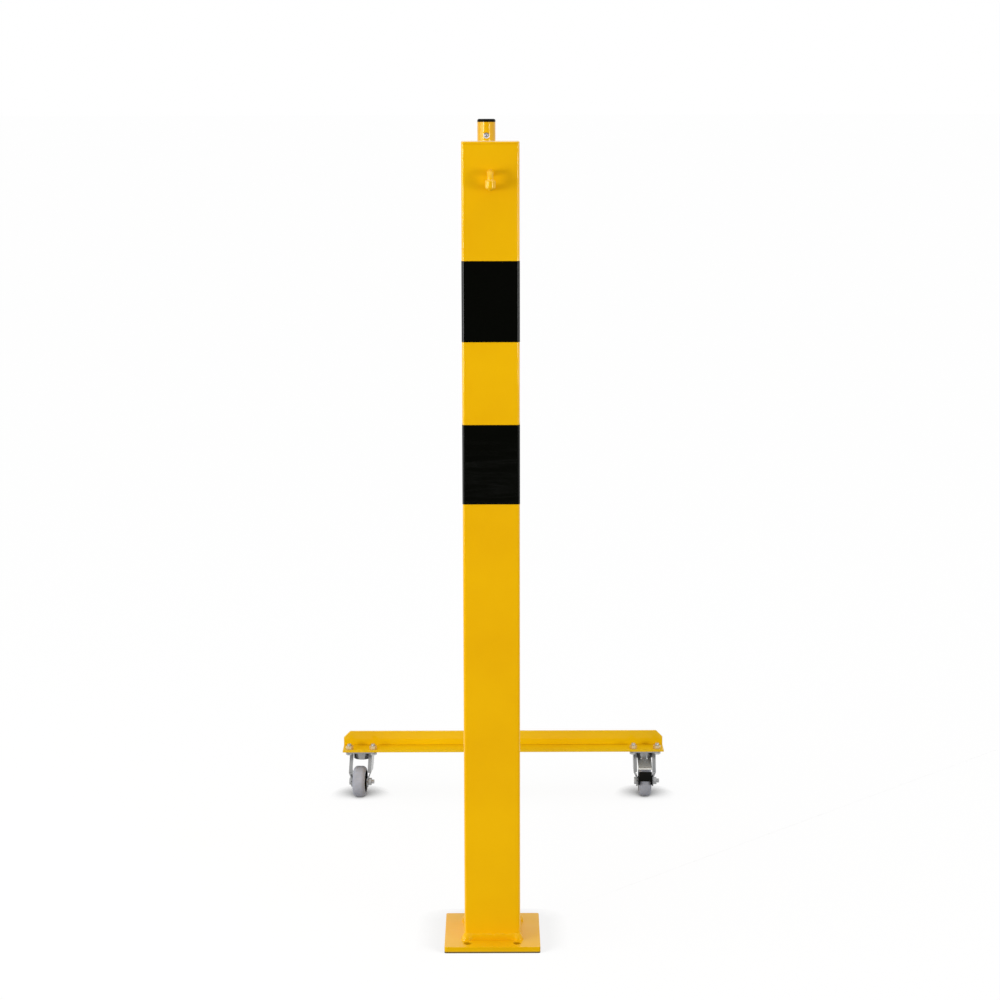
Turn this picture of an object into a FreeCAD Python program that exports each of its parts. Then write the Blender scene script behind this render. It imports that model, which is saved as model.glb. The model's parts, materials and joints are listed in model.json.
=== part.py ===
import FreeCAD, Part
import math
import os
import Sketcher
from FreeCAD import Placement, Rotation, Vector

# An expanding lattice barrier. A bolt-down square post carries one end of a scissor lattice of flat bars, and a
# wheeled end post carries the other, so that the lattice is pulled out along Y to close a gateway.
# Frame: the origin is the centre of the base plate's underside, X runs across the post, +Y is the way the
# barrier opens, and Z is up. Millimetres.

SIZES = {
    # base plate
    "base_side": 120, "base_thick": 8, "base_corner": 2.5, "anchor_hole": 10, "anchor_across": 62, "anchor_deep": 92,
    "weld_leg": 5, "weld_rise": 8.5, "weld_crest": 0.8,
    # post, its lid, its bands and the padlock loop
    "post_side": 70, "post_wall": 2.5, "post_corner": 3.5, "post_tube_length": 993.4, "lid_thick": 3,
    "band_drop": 142.3, "band_length": 98, "band_gap": 101, "band_film": 0.3,
    "loop_bar": 7, "loop_reach": 22, "loop_rise": 17.5, "loop_bend": 6, "loop_drop": 54.7,
    "knuckle_across": 12.5, "knuckle_drop": 1, "knuckle_tall": 11.5, "knuckle_round": 2.5,
    # round tubes that the collars run on
    "round_outer": 26.9, "round_wall": 2.3, "round_across": -7, "guide_stand": 30,
    "guide_foot": 88, "guide_length": 909, "bracket_thick": 6, "bracket_round": 19, "bracket_low": 98,
    "bracket_rise": 894, "end_tube_length": 948.3, "stop_drop": 19.7, "stop_hole": 9, "stop_pin": 7.6,
    "cap_rim": 4.5, "cap_round": 2.5, "cap_plug": 12, "cap_play": 0.1,
    # collars and their peened studs
    "collar_play": 0.3, "collar_wall": 3, "collar_tall": 40, "boss_wide": 18,
    # scissor lattice
    "lattice_cells": 8, "bar_length": 830, "bar_wide": 30, "bar_thick": 5, "bar_space": 2, "fold_pitch": 68.4,
    "lattice_across": 16, "pivot_height": 135, "pivot_pin": 8, "pivot_play": 0.1, "pivot_slack": 0.2,
    "head_wide": 16, "head_thick": 3, "head_chamfer": 1.2, "shoulder_wide": 13,
    # wheeled foot of the end post
    "flange_length": 490, "flange_wide": 66, "flange_thick": 3, "web_thick": 4, "web_tall": 21.5, "web_chamfer": 9.7,
    # castor plate and swivel
    "castor_inset": 28, "castor_tall": 71, "plate_wide": 43, "plate_long": 60, "plate_thick": 2.5,
    "plate_corner": 6, "bolt_across": 36, "bolt_along": 48, "bolt_shank": 6, "bolt_hole": 6.6, "bolt_end": 3,
    "hex_flats": 10, "bolt_head": 3.2, "nut_tall": 5, "race_outer": 31, "race_inner": 17, "race_tall": 2.5,
    "swivel_gap": 0.3, "kingpin": 8, "kingpin_play": 0.1, "kingpin_head": 14, "kingpin_head_tall": 3.6,
    "left_swivel": 5, "right_swivel": 1,
    # castor fork
    "sheet": 2, "fork_wide": 34, "fork_waist": 26, "crown_corner": 8, "cup_wide": 25.5, "cup_tall": 12,
    "leg_bend_top": 37, "leg_bend_low": 28.6, "leg_rear": 9.5, "leg_rear_drop": 52, "leg_front": 13.5, "leg_end": 8.5,
    "lip_across": 23.4, "lip_low": 38,
    # wheel, axle and brake
    "trail": 26, "wheel_wide": 19, "wheel_across": 47, "tyre_round": 6, "core_across": 33, "rim_wide": 17,
    "rim_thick": 2, "web_plate": 5, "hub_across": 14, "hub_side_play": 0.25, "axle_play": 0.05, "axle_end": 4,
    "pedal_gap": 1.5, "pedal_thick": 4.5, "pedal_low": 14, "pedal_high": 43, "pedal_ear": 1, "pedal_play": 0.3,
    "ear_boss": 13, "ear_low": 3, "ear_high": 27, "leaf_wide": 21, "leaf_thick": 1.5, "leaf_flat": 13.5,
    "leaf_reach": 43, "leaf_droop": 4.6, "leaf_lip_reach": 3.2, "leaf_lip_drop": 6.6,
}

doc = FreeCAD.newDocument("expanding_barrier")
sheet = doc.addObject("Spreadsheet::Sheet", "Sizes")
for row, (alias, number) in enumerate(SIZES.items(), start=1):
    sheet.set(f"A{row}", alias)
    sheet.set(f"B{row}", str(number))
    sheet.setAlias(f"B{row}", alias)
doc.recompute()

UP = Vector(0, 0, 1)
parts = []


# ---- helpers -------------------------------------------------------------------------------------------------

def formula(text):
    """An expression in the sheet's aliases, such as "post_side / 2", as FreeCAD writes it."""
    words = []
    word = ""
    for letter in str(text) + " ":
        if letter.isalnum() or letter == "_":
            word += letter
            continue
        words.append(f"Sizes.{word}" if word in SIZES else word)
        words.append(letter)
        word = ""
    return "".join(words).strip()


def size(text):
    """The number that such an expression stands for."""
    return float(sheet.evalExpression(formula(text)))


def bind(thing, name, text):
    """Ties one property or constraint to the sheet."""
    thing.setExpression(name, formula(text))


def new_body(label, x="0", y="0", z="0", axis=UP, degrees="0"):
    """A PartDesign body whose label is its node's name, placed at x, y, z and turned about axis."""
    body = doc.addObject("PartDesign::Body", label)
    body.Label = label
    body.Placement = Placement(Vector(), Rotation(axis, size(degrees)))
    for letter, text in zip("xyz", (x, y, z)):
        bind(body, f"Placement.Base.{letter}", text)
    parts.append(body)
    return body


def new_sketch(body, role, name, lift="0", rise="0"):
    """A sketch on one of the body's origin planes. lift is along the plane's normal, rise along its own Y axis."""
    plane = next(o for o in body.Origin.OriginFeatures if o.Role == role)
    sketch = body.newObject("Sketcher::SketchObject", f"{body.Name}_{name}")
    sketch.AttachmentSupport = [(plane, "")]
    sketch.MapMode = "FlatFace"
    bind(sketch, "AttachmentOffset.Base.z", lift)
    bind(sketch, "AttachmentOffset.Base.y", rise)
    return sketch


def pin_point(sketch, geometry, point, x, y):
    """Fixes a point of the sketch at x, y."""
    for kind, text in (("DistanceX", x), ("DistanceY", y)):
        index = sketch.addConstraint(Sketcher.Constraint(kind, -1, 1, geometry, point, size(text)))
        bind(sketch, f"Constraints[{index}]", text)


def circle(sketch, x, y, radius):
    index = sketch.addGeometry(Part.Circle(Vector(size(x), size(y), 0), UP, size(radius)))
    pin_point(sketch, index, 3, x, y)
    limit = sketch.addConstraint(Sketcher.Constraint("Radius", index, size(radius)))
    bind(sketch, f"Constraints[{limit}]", radius)


def outline(sketch, corners, closed=True):
    """A line of runs through corners (x, y) or (x, y, radius). A radius makes the run that follows an arc of less
    than half a turn: counter-clockwise if positive, clockwise if it starts with a minus sign."""
    count = len(corners)
    ends = []
    for index in range(count if closed else count - 1):
        x0, y0 = (size(t) for t in corners[index][:2])
        x1, y1 = (size(t) for t in corners[(index + 1) % count][:2])
        start, end = Vector(x0, y0, 0), Vector(x1, y1, 0)
        if len(corners[index]) == 2:
            edge = sketch.addGeometry(Part.LineSegment(start, end))
            ends.append((edge, 1, 2))
            continue
        bend = corners[index][2]
        clockwise = str(bend).startswith("-")
        radius_text = str(bend).lstrip("-")
        radius = size(radius_text)
        chord = end - start
        side = UP.cross(chord).normalize() * (-1 if clockwise else 1)
        centre = (start + end) * 0.5 + side * math.sqrt(max(radius ** 2 - (chord.Length / 2) ** 2, 0))
        first, last = (end, start) if clockwise else (start, end)
        angles = [math.atan2(p.y - centre.y, p.x - centre.x) for p in (first, last)]
        if angles[1] < angles[0]:
            angles[1] += 2 * math.pi
        edge = sketch.addGeometry(Part.ArcOfCircle(Part.Circle(centre, UP, radius), *angles))
        limit = sketch.addConstraint(Sketcher.Constraint("Radius", edge, radius))
        bind(sketch, f"Constraints[{limit}]", radius_text)
        ends.append((edge, 2, 1) if clockwise else (edge, 1, 2))
    for index, (edge, start_point, end_point) in enumerate(ends):
        pin_point(sketch, edge, start_point, *corners[index][:2])
        if closed or index < len(ends) - 1:
            following = ends[(index + 1) % len(ends)]
            sketch.addConstraint(Sketcher.Constraint("Coincident", edge, end_point, following[0], following[1]))
        else:
            pin_point(sketch, edge, end_point, *corners[-1][:2])


def rounded_box(sketch, wide, deep, radius):
    """A rectangle about the sketch's origin with rounded corners."""
    a, b, r = f"({wide}) / 2", f"({deep}) / 2", f"({radius})"
    outline(sketch, [
        (f"{a}", f"{b} - {r}", r), (f"{a} - {r}", f"{b}"),
        (f"-{a} + {r}", f"{b}", r), (f"-{a}", f"{b} - {r}"),
        (f"-{a}", f"-{b} + {r}", r), (f"-{a} + {r}", f"-{b}"),
        (f"{a} - {r}", f"-{b}", r), (f"{a}", f"-{b} + {r}"),
    ])


def hexagon(sketch, x, y, flats):
    """A hexagon with two corners level with its centre."""
    half, corner = f"({flats}) / 2", f"({flats}) / sqrt(3)"
    outline(sketch, [
        (f"{x} + {corner}", y), (f"{x} + {corner} / 2", f"{y} + {half}"), (f"{x} - {corner} / 2", f"{y} + {half}"),
        (f"{x} - {corner}", y), (f"{x} - {corner} / 2", f"{y} - {half}"), (f"{x} + {corner} / 2", f"{y} - {half}"),
    ])


def add_pad(body, sketch, length, side="One side", reversed_way=False):
    pad = body.newObject("PartDesign::Pad", f"{sketch.Name}_pad")
    pad.Profile = sketch
    pad.SideType = side
    pad.Reversed = reversed_way
    bind(pad, "Length", length)
    return pad


def cut_through(body, sketch):
    """Cuts the sketch's outline both ways through the whole body, and stops if that cut nothing."""
    doc.recompute()
    before = body.Shape.Volume
    pocket = body.newObject("PartDesign::Pocket", f"{sketch.Name}_pocket")
    pocket.Profile = sketch
    pocket.SideType = "Symmetric"
    pocket.Type = "ThroughAll"
    doc.recompute()
    if not body.Shape.Volume < before:
        raise RuntimeError(f"{pocket.Name} cut nothing")
    return pocket


def add_turned(body, sketch, axis="H_Axis"):
    """Revolves the sketch about one of its own axes."""
    turned = body.newObject("PartDesign::Revolution", f"{sketch.Name}_turned")
    turned.Profile = sketch
    turned.ReferenceAxis = (sketch, [axis])
    turned.Angle = 360
    return turned


def add_row(body, feature, role, step, count):
    """Repeats a feature along one of the body's axes, the copies step apart."""
    axis = next(o for o in body.Origin.OriginFeatures if o.Role == role)
    row_pattern = body.newObject("PartDesign::LinearPattern", f"{feature.Name}_row")
    row_pattern.Originals = [feature]
    row_pattern.Direction = (axis, [""])
    row_pattern.Occurrences = count
    bind(row_pattern, "Length", f"({step}) * {count - 1}")
    body.Tip = row_pattern
    return row_pattern


# ---- places that several pieces share --------------------------------------------------------------------------

POST_FOOT = "base_thick"
POST_TOP = "(base_thick + post_tube_length + lid_thick)"
GUIDE_Y = "(post_side / 2 + guide_stand)"
END_Y = f"({GUIDE_Y} + lattice_cells * fold_pitch)"
LEAN = "asin(fold_pitch / bar_length) / 1 deg"
TOP_PIVOT = "(pivot_height + sqrt(bar_length * bar_length - fold_pitch * fold_pitch))"
LAYER_A = "(lattice_across - bar_space / 2 - bar_thick)"
LAYER_B = "(lattice_across + bar_space / 2)"
FLANGE_TOP = "(castor_tall + flange_thick)"
ROUND_BORE = "(round_outer / 2 - round_wall)"
CASTOR_SPREAD = "(flange_length - 2 * castor_inset)"
CROWN_TOP = "(castor_tall - plate_thick - race_tall - swivel_gap)"
AXLE = "(wheel_across / 2)"


# ---- fixed post --------------------------------------------------------------------------------------------------

def base_plate():
    body = new_body("base_plate")
    plan = new_sketch(body, "XY_Plane", "plan")
    rounded_box(plan, "base_side", "base_side", "base_corner")
    add_pad(body, plan, "base_thick")
    holes = new_sketch(body, "XY_Plane", "holes")
    for across in (1, -1):
        for deep in (1, -1):
            circle(holes, f"{across} * anchor_across / 2", f"{deep} * anchor_deep / 2", "anchor_hole / 2")
    cut_through(body, holes)


def post_tube():
    body = new_body("post_tube", z=POST_FOOT)
    section = new_sketch(body, "XY_Plane", "section")
    rounded_box(section, "post_side", "post_side", "post_corner")
    rounded_box(section, "post_side - 2 * post_wall", "post_side - 2 * post_wall", "post_corner - post_wall")
    add_pad(body, section, "post_tube_length")


def post_lid():
    body = new_body("post_lid", z="base_thick + post_tube_length")
    plan = new_sketch(body, "XY_Plane", "plan")
    rounded_box(plan, "post_side", "post_side", "post_corner")
    add_pad(body, plan, "lid_thick")


def foot_weld():
    """A fillet weld all round the post's foot."""
    body = new_body("foot_weld", z=POST_FOOT)
    toe = new_sketch(body, "XY_Plane", "toe")
    rounded_box(toe, "post_side + 2 * weld_leg", "post_side + 2 * weld_leg", "post_corner + weld_leg")
    crest = new_sketch(body, "XY_Plane", "crest", lift="weld_rise")
    rounded_box(crest, "post_side + 2 * weld_crest", "post_side + 2 * weld_crest", "post_corner + weld_crest")
    bead = body.newObject("PartDesign::AdditiveLoft", "foot_weld_bead")
    bead.Profile = toe
    bead.Sections = [crest]
    bead.Ruled = True
    inside = new_sketch(body, "XY_Plane", "inside")
    rounded_box(inside, "post_side", "post_side", "post_corner")
    cut_through(body, inside)


def black_bands():
    """Two bands of black film round the post's upper half."""
    body = new_body("black_bands", z=f"{POST_TOP} - band_drop - 2 * band_length - band_gap")
    section = new_sketch(body, "XY_Plane", "section")
    rounded_box(section, "post_side + 2 * band_film", "post_side + 2 * band_film", "post_corner + band_film")
    rounded_box(section, "post_side", "post_side", "post_corner")
    band = add_pad(body, section, "band_length")
    add_row(body, band, "Z_Axis", "band_length + band_gap", 2)


def lock_loop():
    """A loop for a padlock or a chain: round bar bent square, with a thicker knuckle low in its front run."""
    body = new_body("lock_loop", y="-post_side / 2", z=f"{POST_TOP} - loop_drop")
    spine = new_sketch(body, "YZ_Plane", "spine")
    outline(spine, [
        ("0", "0"), ("-loop_reach + loop_bend", "0", "-(loop_bend)"), ("-loop_reach", "loop_bend"),
        ("-loop_reach", "loop_rise - loop_bend", "-(loop_bend)"), ("-loop_reach + loop_bend", "loop_rise"),
        ("0", "loop_rise"),
    ], closed=False)
    section = new_sketch(body, "XZ_Plane", "section")
    circle(section, "0", "0", "loop_bar / 2")
    bar = body.newObject("PartDesign::AdditivePipe", "lock_loop_bar")
    bar.Profile = section
    bar.Spine = spine
    knuckle = new_sketch(body, "YZ_Plane", "knuckle", rise="-knuckle_drop")
    bind(knuckle, "AttachmentOffset.Base.x", "-loop_reach")
    wide, tall, bend = "knuckle_across / 2", "knuckle_tall", "knuckle_round"
    outline(knuckle, [
        ("0", "0"), (f"{wide} - {bend}", "0", bend), (wide, bend), (wide, f"{tall} - {bend}", bend),
        (f"{wide} - {bend}", tall), ("0", tall),
    ])
    add_turned(body, knuckle, "V_Axis")


def round_tube(label, length, **place):
    body = new_body(label, **place)
    section = new_sketch(body, "XY_Plane", "section")
    circle(section, "0", "0", "round_outer / 2")
    circle(section, "0", "0", ROUND_BORE)
    add_pad(body, section, length)
    return body


def tube_cap(label, **place):
    """A plug that closes a round tube: a rounded rim as wide as the tube over a shank that fits its bore."""
    body = new_body(label, **place, axis=Vector(0, 1, 0), degrees="-90")
    half = new_sketch(body, "XZ_Plane", "half")
    shank = f"{ROUND_BORE} - cap_play"
    outline(half, [
        ("-cap_plug", "0"), ("cap_rim", "0"), ("cap_rim", "round_outer / 2 - cap_round", "cap_round"),
        ("cap_rim - cap_round", "round_outer / 2"), ("0", "round_outer / 2"), ("0", shank), ("-cap_plug", shank),
    ])
    add_turned(body, half)


def guide_brackets():
    """Two plates welded to the post's back, with the guide tube through them."""
    body = new_body("guide_brackets", x="round_across", y="post_side / 2", z="bracket_low")
    plan = new_sketch(body, "XY_Plane", "plan")
    outline(plan, [
        ("-bracket_round", "0"), ("bracket_round", "0"), ("bracket_round", "guide_stand", "bracket_round"),
        ("0", "guide_stand + bracket_round", "bracket_round"), ("-bracket_round", "guide_stand"),
    ])
    circle(plan, "0", "guide_stand", "round_outer / 2")
    plate = add_pad(body, plan, "bracket_thick")
    add_row(body, plate, "Z_Axis", "bracket_rise", 2)


# ---- collars -----------------------------------------------------------------------------------------------------

def collar(label, play, layer, y, z):
    """A collar round a tube, with a boss and a stud whose end is peened over a bar of the given layer."""
    body = new_body(label, x="round_across", y=y, z=z)
    ring = new_sketch(body, "XY_Plane", "ring")
    circle(ring, "0", "0", "round_outer / 2 + collar_play + collar_wall")
    add_pad(body, ring, "collar_tall", side="Symmetric")
    seat = f"({layer} - round_across)"
    stud_end = f"({seat} + bar_thick + pivot_slack)"
    half = new_sketch(body, "XZ_Plane", "stud")
    outline(half, [
        ("0", "0"), ("0", "boss_wide / 2"), (f"{seat} - pivot_slack", "boss_wide / 2"),
        (f"{seat} - pivot_slack", "pivot_pin / 2"), (stud_end, "pivot_pin / 2"), (stud_end, "head_wide / 2"),
        (f"{stud_end} + head_thick - head_chamfer", "head_wide / 2"),
        (f"{stud_end} + head_thick", "head_wide / 2 - head_chamfer"), (f"{stud_end} + head_thick", "0"),
    ])
    add_turned(body, half)
    bore = new_sketch(body, "XY_Plane", "bore")
    circle(bore, "0", "0", f"round_outer / 2 + {play}")
    cut_through(body, bore)


# ---- lattice -----------------------------------------------------------------------------------------------------

def lattice_place(layer, cell):
    """Where a bar's lower pivot is: bars of layer a lean away from the post and those of layer b towards it."""
    steps = cell - 1 if layer == "a" else cell
    return {
        "x": LAYER_A if layer == "a" else LAYER_B,
        "y": f"{GUIDE_Y} + {steps} * fold_pitch",
        "z": "pivot_height",
        "axis": Vector(-1 if layer == "a" else 1, 0, 0),
        "degrees": LEAN,
    }


def lattice_bar(layer, cell):
    """A flat bar with round ends and three pivot holes."""
    body = new_body(f"bar_{layer}{cell}", **lattice_place(layer, cell))
    side = new_sketch(body, "YZ_Plane", "side")
    half = "bar_wide / 2"
    outline(side, [
        (half, "0"), (half, "bar_length", half), ("0", f"bar_length + {half}", half), (f"-{half}", "bar_length"),
        (f"-{half}", "0", half), ("0", f"-{half}", half),
    ])
    for share in ("0", "bar_length / 2", "bar_length"):
        circle(side, "0", share, "pivot_pin / 2 + pivot_play")
    add_pad(body, side, "bar_thick")


def rivet_row(cell, lowest, count):
    """The rivets that ride on one bar of layer a: each has two heads, and a shoulder that spaces the layers.
    lowest is 0 where the row starts at the lower pivot and 1 where it starts at the middle one."""
    body = new_body(f"rivets_{cell}", **lattice_place("a", cell))
    half = new_sketch(body, "XZ_Plane", "half", rise=f"{lowest} * bar_length / 2")
    pin, head, edge = "pivot_pin / 2", "head_wide / 2", "head_wide / 2 - head_chamfer"
    far_seat = "(2 * bar_thick + bar_space + pivot_slack)"
    shoulder_end = "bar_thick + bar_space - pivot_slack"
    outline(half, [
        ("-head_thick", "0"), ("-head_thick", edge), ("-head_thick + head_chamfer", head), ("0", head), ("0", pin),
        ("bar_thick", pin), ("bar_thick", "shoulder_wide / 2"), (shoulder_end, "shoulder_wide / 2"),
        (shoulder_end, pin), (far_seat, pin), (far_seat, head), (f"{far_seat} + head_thick - head_chamfer", head),
        (f"{far_seat} + head_thick", edge), (f"{far_seat} + head_thick", "0"),
    ])
    rivet = add_turned(body, half)
    add_row(body, rivet, "Z_Axis", "bar_length / 2", count)


# ---- end post and its foot ---------------------------------------------------------------------------------------

def end_tube():
    """The end post: its foot is slotted over the foot's web, and a hole crosses it near the top."""
    body = round_tube("end_tube", "end_tube_length", x="round_across", y=END_Y, z=FLANGE_TOP)
    slot = new_sketch(body, "YZ_Plane", "slot")
    half = "web_thick / 2"
    outline(slot, [(f"-{half}", "0"), (half, "0"), (half, "web_tall"), (f"-{half}", "web_tall")])
    cut_through(body, slot)
    cross = new_sketch(body, "XZ_Plane", "cross")
    circle(cross, "0", "end_tube_length - stop_drop", "stop_hole / 2")
    cut_through(body, cross)


def stop_pin():
    """A pin lying in the cross hole, which keeps the upper collar on the tube. Its ends are rounded."""
    body = new_body("stop_pin", x="round_across", y=END_Y, axis=UP, degrees="90",
                    z=f"{FLANGE_TOP} + end_tube_length - stop_drop + (stop_hole - stop_pin) / 2")
    half = new_sketch(body, "XZ_Plane", "half")
    reach, radius, dome = "(round_outer / 2)", "stop_pin / 2", "(stop_pin / 4)"
    outline(half, [
        (f"-{reach}", "0"), (reach, "0"), (reach, f"{radius} - {dome}", dome), (f"{reach} - {dome}", radius),
        (f"-{reach} + {dome}", radius, dome), (f"-{reach}", f"{radius} - {dome}"),
    ])
    add_turned(body, half)


def castor_corners():
    """The places of one castor's four bolts from its swivel axis."""
    return [(f"{a} * bolt_across / 2", f"{b} * bolt_along / 2") for a in (1, -1) for b in (1, -1)]


def bolt_places():
    """The places of all eight castor bolts from the foot's centre."""
    return [(f"({side} * {CASTOR_SPREAD} / 2 + {x})", y) for side in (-1, 1) for x, y in castor_corners()]


def foot_flange():
    body = new_body("foot_flange", x="lattice_across", y=END_Y, z="castor_tall")
    plan = new_sketch(body, "XY_Plane", "plan")
    a, b = "flange_length / 2", "flange_wide / 2"
    outline(plan, [(f"-{a}", f"-{b}"), (a, f"-{b}"), (a, b), (f"-{a}", b)])
    for x, y in bolt_places():
        circle(plan, x, y, "bolt_hole / 2")
    add_pad(body, plan, "flange_thick")


def foot_web():
    body = new_body("foot_web", x="lattice_across", y=END_Y, z=FLANGE_TOP)
    side = new_sketch(body, "XZ_Plane", "side")
    a = "flange_length / 2"
    outline(side, [
        (f"-{a}", "0"), (a, "0"), (a, "web_tall - web_chamfer"), (f"{a} - web_chamfer", "web_tall"),
        (f"-{a} + web_chamfer", "web_tall"), (f"-{a}", "web_tall - web_chamfer"),
    ])
    add_pad(body, side, "web_thick", side="Symmetric")


def castor_bolts():
    """Hexagon bolts that pass up through the castor plates and the flange."""
    body = new_body("castor_bolts", x="lattice_across", y=END_Y, z="castor_tall - plate_thick")
    heads = new_sketch(body, "XY_Plane", "heads")
    shanks = new_sketch(body, "XY_Plane", "shanks")
    for x, y in bolt_places():
        hexagon(heads, x, y, "hex_flats")
        circle(shanks, x, y, "bolt_shank / 2")
    add_pad(body, heads, "bolt_head", reversed_way=True)
    add_pad(body, shanks, "plate_thick + flange_thick + nut_tall + bolt_end")


def castor_nuts():
    body = new_body("castor_nuts", x="lattice_across", y=END_Y, z=FLANGE_TOP)
    plan = new_sketch(body, "XY_Plane", "plan")
    for x, y in bolt_places():
        hexagon(plan, x, y, "hex_flats")
        circle(plan, x, y, "bolt_shank / 2")
    add_pad(body, plan, "nut_tall")


# ---- castors -----------------------------------------------------------------------------------------------------

LEFT_X = f"(lattice_across - {CASTOR_SPREAD} / 2)"
RIGHT_X = f"(lattice_across + {CASTOR_SPREAD} / 2)"


def castor_plates():
    body = new_body("castor_plates", x=LEFT_X, y=END_Y, z="castor_tall - plate_thick")
    plan = new_sketch(body, "XY_Plane", "plan")
    rounded_box(plan, "plate_wide", "plate_long", "plate_corner")
    circle(plan, "0", "0", "kingpin / 2")
    for x, y in castor_corners():
        circle(plan, x, y, "bolt_hole / 2")
    plate = add_pad(body, plan, "plate_thick")
    add_row(body, plate, "X_Axis", CASTOR_SPREAD, 2)


def ball_races():
    """The ring under each castor plate that the fork's crown turns against."""
    body = new_body("ball_races", x=LEFT_X, y=END_Y, z="castor_tall - plate_thick - race_tall")
    plan = new_sketch(body, "XY_Plane", "plan")
    circle(plan, "0", "0", "race_outer / 2")
    circle(plan, "0", "0", "race_inner / 2")
    ring = add_pad(body, plan, "race_tall")
    add_row(body, ring, "X_Axis", CASTOR_SPREAD, 2)


def kingpins():
    """The rivets that hold the forks to the castor plates: a shank through the plate over a head under the crown."""
    body = new_body("kingpins", x=LEFT_X, y=END_Y, z="castor_tall")
    shank = new_sketch(body, "XY_Plane", "shank")
    circle(shank, "0", "0", "kingpin / 2")
    neck = f"(castor_tall - {CROWN_TOP} + sheet + swivel_gap)"
    shank_pad = add_pad(body, shank, neck, reversed_way=True)
    head = new_sketch(body, "XY_Plane", "head", lift=f"-{neck}")
    circle(head, "0", "0", "kingpin_head / 2")
    head_pad = add_pad(body, head, "kingpin_head_tall", reversed_way=True)
    row = add_row(body, shank_pad, "X_Axis", CASTOR_SPREAD, 2)
    row.Originals = [shank_pad, head_pad]


def on_castor(side):
    """A castor piece's place: the floor under the swivel axis, turned to the way the castor trails."""
    return {"x": LEFT_X if side == "left" else RIGHT_X, "y": END_Y, "z": "0",
            "axis": Vector(0, 0, -1), "degrees": f"{side}_swivel"}


def fork(side):
    """A pressed fork: a crown with a cup under it, over two legs that draw in towards the axle and trail behind the
    swivel. The front edge of each leg is folded inwards."""
    body = new_body(f"{side}_fork", **on_castor(side))
    top, wide, waist = f"({CROWN_TOP} - sheet)", "fork_wide / 2", "fork_waist / 2"
    foot = f"{AXLE} - leg_end - 1"
    legs = new_sketch(body, "XZ_Plane", "legs")
    for way in ("", "-"):
        outline(legs, [
            (f"{way}({wide})", top), (f"{way}({wide})", "leg_bend_top"), (f"{way}({waist})", "leg_bend_low"),
            (f"{way}({waist})", foot), (f"{way}({waist} - sheet)", foot),
            (f"{way}({waist} - sheet)", "leg_bend_low"), (f"{way}({wide} - sheet)", "leg_bend_top"),
            (f"{way}({wide} - sheet)", top),
        ])
    add_pad(body, legs, "4 * fork_wide", side="Symmetric")
    front = trim_leg_sides(body, top)
    fold_leg_fronts(body, top, front)
    crown = new_sketch(body, "XY_Plane", "crown", lift=top)
    rounded_box(crown, "fork_wide", "2 * leg_front", "crown_corner")
    add_pad(body, crown, "sheet")
    cup = new_sketch(body, "XY_Plane", "cup", lift=top)
    circle(cup, "0", "0", "cup_wide / 2")
    circle(cup, "0", "0", "cup_wide / 2 - sheet")
    add_pad(body, cup, "cup_tall - sheet", reversed_way=True)
    pin_hole = new_sketch(body, "XY_Plane", "pin_hole")
    circle(pin_hole, "0", "0", "kingpin / 2 + kingpin_play")
    cut_through(body, pin_hole)
    axle_hole = new_sketch(body, "YZ_Plane", "axle_hole")
    circle(axle_hole, "-trail", AXLE, "bolt_shank / 2")
    cut_through(body, axle_hole)


def trim_leg_sides(body, top):
    """Cuts the legs to their side view: wide under the crown, drawn in to a round end about the axle. Returns the
    lower end of their straight front edge."""
    frame_edge = "3 * fork_wide"
    side = new_sketch(body, "YZ_Plane", "side")
    outline(side, [(f"-{frame_edge}", "-1"), (frame_edge, "-1"), (frame_edge, frame_edge),
                   (f"-{frame_edge}", frame_edge)])
    trail, axle, end = size("trail"), size(AXLE), size("leg_end")
    front = tangent_point(-size("leg_front"), size(top), -trail, axle, end, 1)
    rear = tangent_point(size("leg_rear"), size("leg_rear_drop"), -trail, axle, end, -1)
    outline(side, [
        ("-leg_front", top), front + ("leg_end",), ("-trail", f"{AXLE} - leg_end", "leg_end"), rear,
        ("leg_rear", "leg_rear_drop"), ("leg_rear", top),
    ])
    cut_through(body, side)
    return front


def fold_leg_fronts(body, top, front):
    """Two lips that run down the legs' front edges, from the crown to a height above the brake's ears."""
    head = Vector(-size("leg_front"), size(top), 0)
    run = (Vector(*front, 0) - head).normalize()
    tail = head + run * ((size("lip_low") - head.y) / run.y)
    inward = UP.cross(run) * size("sheet")
    corners = [(head.x, head.y), (tail.x, tail.y), (tail.x + inward.x, tail.y + inward.y)]
    start = head + inward - run * (inward.y / run.y)
    corners.append((start.x, start.y))
    for name, lift in (("left_lip", "-fork_wide / 2"), ("right_lip", "lip_across / 2")):
        lip = new_sketch(body, "YZ_Plane", name, lift=lift)
        outline(lip, corners)
        add_pad(body, lip, "(fork_wide - lip_across) / 2")


def tangent_point(x, y, centre_x, centre_y, radius, turn):
    """Where a line from x, y touches a circle; turn picks the side."""
    dx, dy = x - centre_x, y - centre_y
    angle = math.atan2(dy, dx) + turn * math.acos(radius / math.hypot(dx, dy))
    return (centre_x + radius * math.cos(angle), centre_y + radius * math.sin(angle))


def axle_bolt(side):
    """A hexagon bolt through the fork's legs and the wheel, its head on the left."""
    body = new_body(f"{side}_axle_bolt", **on_castor(side))
    head = new_sketch(body, "YZ_Plane", "head", lift="-fork_waist / 2")
    hexagon(head, "-trail", AXLE, "hex_flats")
    add_pad(body, head, "bolt_head", reversed_way=True)
    shank = new_sketch(body, "YZ_Plane", "shank", lift="-fork_waist / 2")
    circle(shank, "-trail", AXLE, "bolt_shank / 2")
    add_pad(body, shank, "fork_waist + nut_tall + axle_end")


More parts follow.
